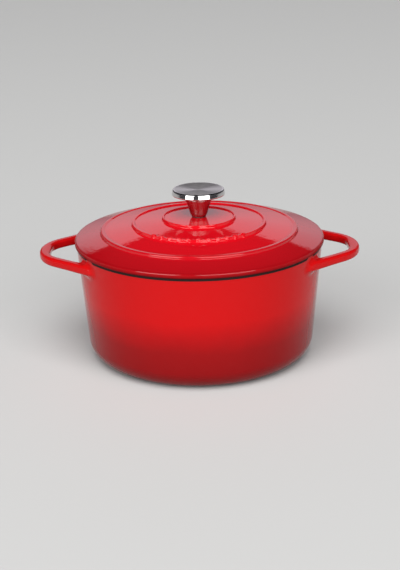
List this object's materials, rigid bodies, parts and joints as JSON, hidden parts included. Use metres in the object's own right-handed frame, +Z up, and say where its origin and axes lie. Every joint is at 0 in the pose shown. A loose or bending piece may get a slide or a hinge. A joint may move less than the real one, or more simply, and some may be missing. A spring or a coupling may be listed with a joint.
{
  "type": "cast iron dutch oven",
  "caption": "Round enamelled cast iron pot with two loop handles and a domed, ringed lid that lifts off by a steel knob held by a screw from beneath.",
  "frame": {"origin": "centre of the pot's base, on the surface it stands on", "axes": "+Z up along the pot's axis, +X along the line of the two handles, +Y to the back, seen from the front"},
  "size_m": [0.3256, 0.2524, 0.172],
  "materials": {
    "enamelled_pot": "glossy vitreous enamel, bright red fading to cherry at the base, light inside, matt black rim",
    "enamelled_lid": "glossy vitreous enamel, red above, light below, matt black flange",
    "polished_steel": "polished stainless steel",
    "brushed_steel": "stainless steel, top brushed in circles, edge polished",
    "insert": "turned",
    "gasket": "matt silicone",
    "fastener": "bright stainless steel"
  },
  "bodies": {
    "pot": {"pot_casting": "enamelled_pot"},
    "lid": {"lid_casting": "enamelled_lid", "knob_gasket": "gasket", "knob_stem": "polished_steel", "knob_cap": "brushed_steel", "knob_insert": "insert"},
    "washers": {"flat_washer": "fastener", "spring_washer": "fastener"},
    "screw": {"knob_screw": "fastener"}
  },
  "joints": [
    {"name": "lid_lift", "type": "slide", "parent": "pot", "child": "lid", "axis": [0, 0, 1], "range_m": [0, 0.15]},
    {"name": "screw_travel", "type": "slide", "parent": "lid", "child": "washers", "axis": [0, 0, -1], "range_m": [0, 0.008]},
    {"name": "screw_turn", "type": "hinge", "parent": "washers", "child": "screw", "pos_m": [0, 0, 0.133], "axis": [0, 0, -1], "range_deg": [0, 2880]}
  ],
  "couplings": [
    {"joint": "screw_turn", "follows": "screw_travel", "rad_per_m": 6283.2}
  ]
}
